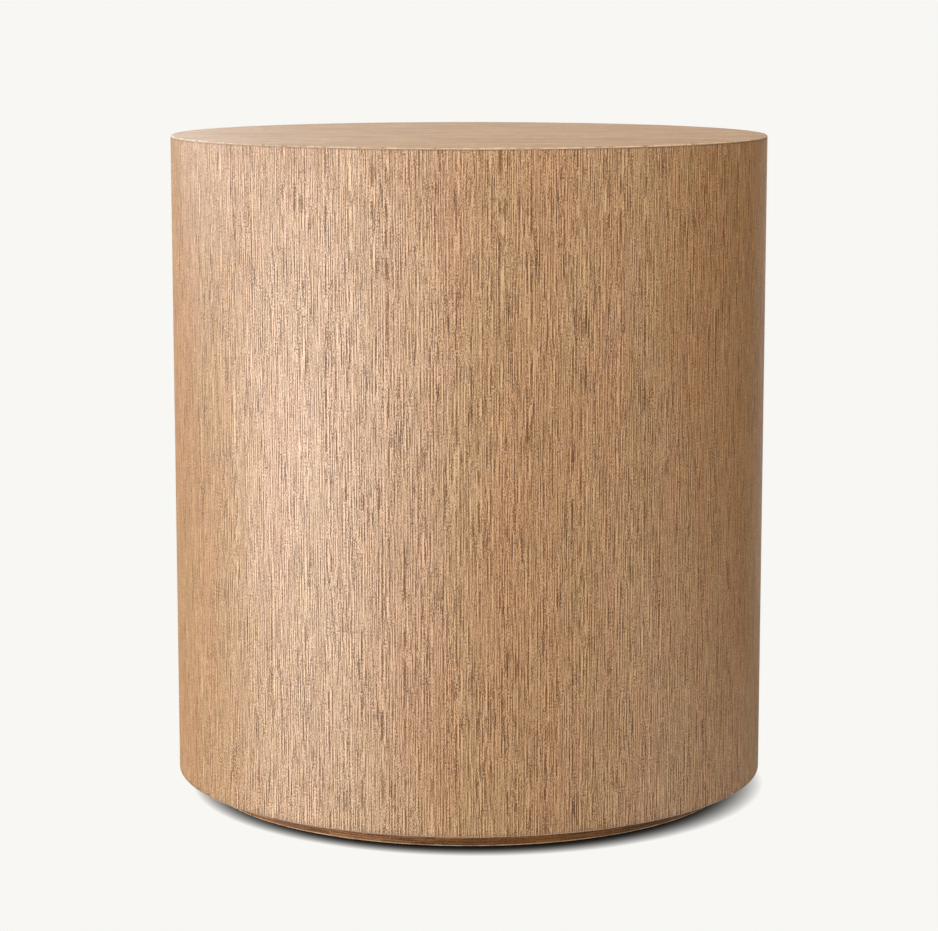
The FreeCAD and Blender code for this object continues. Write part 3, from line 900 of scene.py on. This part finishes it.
def buildStem(number, node):
    centre = centreOf(node)
    _, head, bottom, top = ringOf(node, centre)
    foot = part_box(f"leveller_foot_{number}")
    points = pointsOf(node)
    shaft = max(reachOf(point, centre) for point in points if point.z > foot[1].z)
    keyTop = bottom + levellerStem["keyDepth"] + levellerStem["keyClear"]
    neckBottom = min(point.z for point in points if point.z > keyTop)
    steps, ease = levellerStem["turnSteps"], levellerStem["headEase"]
    minor = shaft - levellerStem["threadDepth"]
    threadTop = top - levellerStem["threadDepth"]
    profile = [(head - ease, bottom), (head, bottom + ease), (head, neckBottom - ease),
               (head - ease, neckBottom), (minor, neckBottom)]
    rows = [ringPoints(r, z, steps, centre) for r, z in profile]
    rows += threadRows(
        neckBottom + levellerStem["plainNeck"], threadTop, levellerStem["pitch"],
        minor, shaft, steps, levellerStem["stepsPerPitch"], centre)
    rows.append(ringPoints(minor, top - levellerStem["threadDepth"] / 2, steps, centre))
    rows.append(ringPoints(minor * levellerStem["tipShare"], top, steps, centre))
    bm = bmesh.new()
    grid, _ = skinRows(bm, rows, caps=False)
    bm.faces.new(grid[-1])
    corner = levellerStem["keyHalf"] / math.cos(math.pi / 6)
    hexagon = [Vector(point) for point in ringPoints(corner, bottom, 6, centre)]
    keyDeep = levellerStem["keyDepth"] - levellerStem["keyFloor"]
    recessedFace(bm, grid[0], hexagon, (0, 0, keyDeep), 1.0)
    makePiece(bm, f"stem_{number}", f"stem_{number}", node, zincSteel)


levellerFoot = {
    "turnSteps": 240, "edgeRound": 0.0012, "roundSteps": 5,
    "flutes": 20, "fluteDepth": 0.0005, "fluteReach": 0.6,
    "groove": 0.0004, "grooveAt": (0.0078, 0.0092), "ease": 0.0003, "wall": 0.004}
sameLevel = 1e-5
apart = 1e-4


def buildFoot(number, node):
    centre = centreOf(node)
    points = [(reachOf(point, centre), point.z) for point in pointsOf(node)]
    keyHole, outer, bottom, top = ringOf(node, centre)
    neck = min(r for r, z in points if z > top - sameLevel)
    bore = [(r, z) for r, z in points if neck + apart < r < outer - levellerFoot["wall"]]
    socket = max(r for r, z in bore if bottom + apart < z < top - apart)
    socketLevels = [z for r, z in bore if abs(r - socket) < sameLevel]
    floor, ceiling = min(socketLevels), max(socketLevels)
    rounded, steps, ease = levellerFoot["edgeRound"], levellerFoot["roundSteps"], levellerFoot["ease"]
    grooveIn, grooveOut = levellerFoot["grooveAt"]
    deep = bottom + levellerFoot["groove"]
    profile = [(keyHole + ease, bottom), (grooveIn, bottom), (grooveIn + ease, deep),
               (grooveOut - ease, deep), (grooveOut, bottom)]
    profile += quarterRound(outer, bottom, rounded, steps, 1)
    profile += quarterRound(outer, top, rounded, steps, -1)
    profile += [(neck, top), (neck, ceiling), (socket, ceiling), (socket, floor), (keyHole, floor),
                (keyHole, bottom + ease)]
    rows = []
    for radius, level in profile:
        fluted = radius > outer - rounded * levellerFoot["fluteReach"]
        ring = []
        for step in range(levellerFoot["turnSteps"]):
            turn = fullTurn * step / levellerFoot["turnSteps"]
            wave = max(0.0, math.cos(levellerFoot["flutes"] * turn)) ** 2
            reach = radius - levellerFoot["fluteDepth"] * wave if fluted else radius
            x, y = centre[0] + reach * math.cos(turn), centre[1] + reach * math.sin(turn)
            ring.append((x, y, level))
        rows.append(ring)
    bm = bmesh.new()
    skinRows(bm, rows, loop=True)
    makePiece(bm, f"foot_{number}", f"foot_{number}", node, mouldedNylon)


stemNodes = nodesNamed("leveller_stem_")
for number, node in enumerate(stemNodes, start=1):
    buildStem(number, node)
    buildFoot(number, f"leveller_foot_{number}")
print("levellers:", len(stemNodes))


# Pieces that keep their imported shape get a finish

carriedFinishes = [
    (("outer_skin_", "inner_skin_"), plywoods["bendingPlywood"]),
    (("top_panel", "bottom_panel", "top_ring", "middle_ring", "bottom_ring"), plywoods["panelPlywood"]),
    (("base_board",), plywoods["stainedPlywood"]),
    (("stud_",), studSoftwood),
    (("tee_nuts",), zincSteel),
]
for starts, material in carriedFinishes:
    for node in [name for start in starts for name in nodesNamed(start)]:
        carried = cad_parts[node]
        if not carried.hide_render:
            carried.data.materials.clear()
            carried.data.materials.append(material)
print("carried pieces finished")


# Floor, surround and lights

backdrop = {
    "pale": colour(248, 247, 243), "floorSize": 14.0, "floorCells": 8,
    "ambient": (0.16, 0.16, 0.16, 1.0), "bounce": (0.60, 0.57, 0.51, 1.0), "horizon": 0.04,
    # painted shadow round the base: a dark floor tone inside two rings, fading out towards the outer one
    "shadowCore": {"centre": (0.0019, -0.0138), "reach": -0.0148},
    "shadowEdge": {"centre": (0.0069, -0.0012), "reach": 0.0198},
    "shadowCurve": 2.2, "shadowTone": colour(64, 68, 72)}


def anyRay(tree, titles):
    path = addNode(tree, "LightPath").outputs
    total = path[titles[0]]
    for title in titles[1:]:
        total = calc(tree, "MAXIMUM", total, path[title])
    return total


def makeFloor():
    # pale to the camera, with a painted shadow kept close round the base: inside set rings a dark floor
    # tone, lit by the lamps and shaded by the table, fades out into the pale glow
    material, tree, shader = startMaterial("paleFloor", Roughness=1.0, Specular_IOR_Level=0.0)
    shader.inputs["Base Color"].default_value = backdrop["shadowTone"]
    glow = addNode(tree, "Emission", {"Color": backdrop["pale"], "Strength": 1.0}).outputs[0]
    axis = splitAxes(tree, objectPoint(tree))
    baseRadius = ringOf("base_edge_band")[1]
    past = []       # how far a spot lies outside the painted shadow's dark core, and outside its edge
    for ring in (backdrop["shadowCore"], backdrop["shadowEdge"]):
        x = calc(tree, "SUBTRACT", axis["X"], ring["centre"][0])
        y = calc(tree, "SUBTRACT", axis["Y"], ring["centre"][1])
        past.append(calc(tree, "SUBTRACT", radiusAt(tree, x, y), baseRadius + ring["reach"]))
    fade = calc(tree, "DIVIDE", past[0], calc(tree, "SUBTRACT", past[0], past[1]), clamp=True)
    clear = calc(tree, "POWER", fade, backdrop["shadowCurve"])
    look = addNode(tree, "MixShader", {0: clear, 1: shader.outputs[0], 2: glow}).outputs[0]
    seeThrough = addNode(tree, "BsdfTransparent").outputs[0]
    above = calc(tree, "SUBTRACT", 1.0, addNode(tree, "NewGeometry").outputs["Backfacing"])
    seen = calc(tree, "MULTIPLY", anyRay(tree, ["Is Camera Ray", "Is Transmission Ray"]), above)
    surface = addNode(tree, "MixShader", {0: seen, 1: seeThrough, 2: look}).outputs[0]
    tree.links.new(surface, tree.nodes["Material Output"].inputs["Surface"])
    bm = bmesh.new()
    cells = backdrop["floorCells"]
    bmesh.ops.create_grid(bm, x_segments=cells, y_segments=cells, size=backdrop["floorSize"])
    floor = newObject(bm, "floor", material)
    floor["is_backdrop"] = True


def makeSurround():
    # pale behind everything that is seen or mirrored, dim for the light that it sheds
    world = bpy.data.worlds.new("surround")
    world.use_nodes = True
    scene.world = world
    tree = world.node_tree
    way = splitAxes(tree, addNode(tree, "TexCoord").outputs["Generated"])
    skyward = spread(tree, way["Z"], -backdrop["horizon"], backdrop["horizon"])
    dim = mixColour(tree, skyward, backdrop["bounce"], backdrop["ambient"])
    mirrored = calc(tree, "MULTIPLY", addNode(tree, "LightPath").outputs["Is Glossy Ray"], skyward)
    seen = calc(tree, "MAXIMUM", anyRay(tree, ["Is Camera Ray", "Is Transmission Ray"]), mirrored)
    shed = mixColour(tree, seen, dim, backdrop["pale"])
    tree.links.new(shed, tree.nodes["Background"].inputs["Color"])


makeFloor()
makeSurround()

# azimuth from the camera's side, positive to its right; brightness is what a white card would mirror
studioLights = {
    "lowLeftStrip": {
        "azimuth": -62, "distance": 2.0, "height": 0.08, "size": (2.10, 0.55), "brightness": 6.8},
    "lowFrontStrip": {
        "azimuth": -20, "distance": 2.0, "height": 0.08, "size": (0.90, 0.55), "brightness": 4.0},
    "leftFill": {
        "azimuth": -112, "distance": 2.0, "height": 0.68, "size": (1.70, 0.65), "brightness": 4.5},
    "frontSoftbox": {
        "azimuth": 42, "distance": 2.0, "height": 2.10, "size": (2.00, 1.60), "brightness": 4.0},
    "frontTopSoftbox": {
        "azimuth": 5, "distance": 2.0, "height": 1.90, "size": (1.40, 1.20), "brightness": 2.8},
    "overheadSoftbox": {
        "azimuth": 180, "distance": 0.15, "height": 2.40, "size": (1.60, 1.60), "brightness": 2.9},
    "backSoftbox": {
        "azimuth": 210, "distance": 2.2, "height": 1.60, "size": (1.60, 1.30), "brightness": 3.9},
    "floorGlowLeft": {
        "azimuth": -62, "distance": 2.0, "height": -0.60, "size": (2.10, 0.80), "brightness": 2.3},
    "floorGlowRight": {
        "azimuth": 72, "distance": 1.6, "height": -0.60, "size": (1.00, 0.80), "brightness": 0.5},
    "rearFill": {
        "azimuth": 165, "distance": 1.8, "height": 0.10, "size": (1.20, 0.80), "brightness": 1.6},
}
lightTarget = Vector((0.0, 0.0, 0.26))


def aroundAt(turn, distance, height):
    return Vector((math.sin(turn) * distance, -math.cos(turn) * distance, height))


def addLight(name, look):
    lamp = bpy.data.lights.new(name, "AREA")
    lamp.shape = "RECTANGLE"
    lamp.size, lamp.size_y = look["size"]
    lamp.energy = look["brightness"] * lamp.size * lamp.size_y * math.pi
    light = bpy.data.objects.new(name, lamp)
    light.location = aroundAt(math.radians(look["azimuth"]), look["distance"], look["height"])
    light.rotation_euler = (lightTarget - light.location).to_track_quat("-Z", "Y").to_euler()
    light.visible_camera = False
    scene.collection.objects.link(light)


for name, look in studioLights.items():
    addLight(name, look)

darkFlag = {"from": 75, "to": 160, "distance": 2.0, "levels": (-0.4, 2.4), "steps": 24,
            "tone": (0.02, 0.02, 0.02, 1.0)}


def makeFlag():
    # dark cloth on the right that keeps light and mirrored paleness off that side of the drum
    material, _, shader = startMaterial("darkCloth", Roughness=1.0, Specular_IOR_Level=0.0)
    shader.inputs["Base Color"].default_value = darkFlag["tone"]
    step = (darkFlag["to"] - darkFlag["from"]) / darkFlag["steps"]
    turns = [math.radians(darkFlag["from"] + step * k) for k in range(darkFlag["steps"] + 1)]
    away = darkFlag["distance"]
    rows = [[aroundAt(turn, away, level) for turn in turns] for level in darkFlag["levels"]]
    bm = bmesh.new()
    skinRows(bm, rows, wrap=False, caps=False)
    flag = newObject(bm, "flag", material)
    flag.visible_camera = False
    flag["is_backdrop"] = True


makeFlag()
print("lights:", len(studioLights))

# Camera at the photograph's viewing angle

viewpoint = {"distance": 2.3116, "height": 0.6075, "pitch": 8.80, "lens": 114.72, "sensor": 36.0}
eye = bpy.data.cameras.new("eye")
eye.lens = viewpoint["lens"]
eye.sensor_width = viewpoint["sensor"]
camera = bpy.data.objects.new("eye", eye)
camera.location = (0.0, -viewpoint["distance"], viewpoint["height"])
camera.rotation_euler = (math.radians(90.0 - viewpoint["pitch"]), 0.0, 0.0)
scene.collection.objects.link(camera)
scene.camera = camera
scene.view_settings.view_transform = "Standard"

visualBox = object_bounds()
for title, box in (("packed box:", cadBox), ("visual box:", visualBox)):
    print(title, [round(side, 4) for side in box[1] - box[0]])
